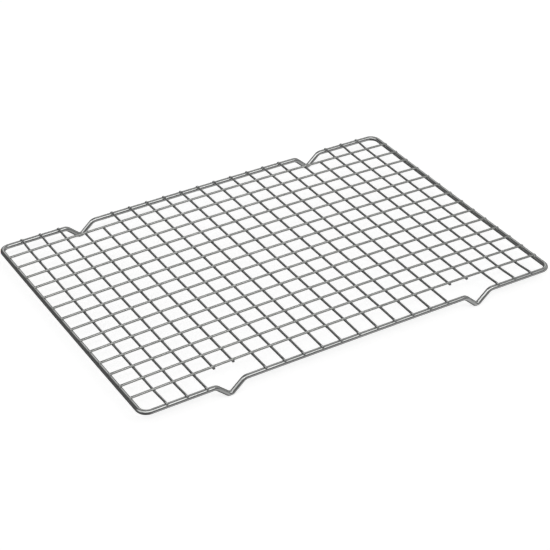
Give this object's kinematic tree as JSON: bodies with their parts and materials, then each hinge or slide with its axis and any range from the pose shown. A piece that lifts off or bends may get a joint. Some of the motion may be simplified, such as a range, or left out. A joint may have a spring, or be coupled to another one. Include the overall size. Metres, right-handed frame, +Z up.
{
  "type": "cooling rack",
  "caption": "Rectangular plated wire cooling rack: a welded mesh of long wires over cross wires on a bent frame wire with V-shaped feet.",
  "frame": {"origin": "centre of the footprint, on the surface that the toes stand on", "axes": "+X along the rack, +Y across it, +Z up"},
  "size_m": [0.4498, 0.3098, 0.0216],
  "materials": {
    "frame_wire": "bright plated steel wire",
    "long_wires": "bright plated steel wire",
    "cross_wires": "bright plated steel wire"
  },
  "bodies": {
    "root": {"frame_wire": "frame_wire", "long_wire_01": "long_wires", "long_wire_02": "long_wires", "long_wire_03": "long_wires", "long_wire_04": "long_wires", "long_wire_05": "long_wires", "long_wire_06": "long_wires", "long_wire_07": "long_wires", "long_wire_08": "long_wires", "long_wire_09": "long_wires", "long_wire_10": "long_wires", "long_wire_11": "long_wires", "long_wire_12": "long_wires", "long_wire_13": "long_wires", "long_wire_14": "long_wires", "cross_wire_01": "cross_wires", "cross_wire_02": "cross_wires", "cross_wire_03": "cross_wires", "short_cross_wire_04": "cross_wires", "short_cross_wire_05": "cross_wires", "cross_wire_06": "cross_wires", "cross_wire_07": "cross_wires", "cross_wire_08": "cross_wires", "cross_wire_09": "cross_wires", "cross_wire_10": "cross_wires", "cross_wire_11": "cross_wires", "cross_wire_12": "cross_wires", "cross_wire_13": "cross_wires", "cross_wire_14": "cross_wires", "cross_wire_15": "cross_wires", "cross_wire_16": "cross_wires", "short_cross_wire_17": "cross_wires", "short_cross_wire_18": "cross_wires", "cross_wire_19": "cross_wires", "cross_wire_20": "cross_wires", "cross_wire_21": "cross_wires"}
  },
  "joints": []
}
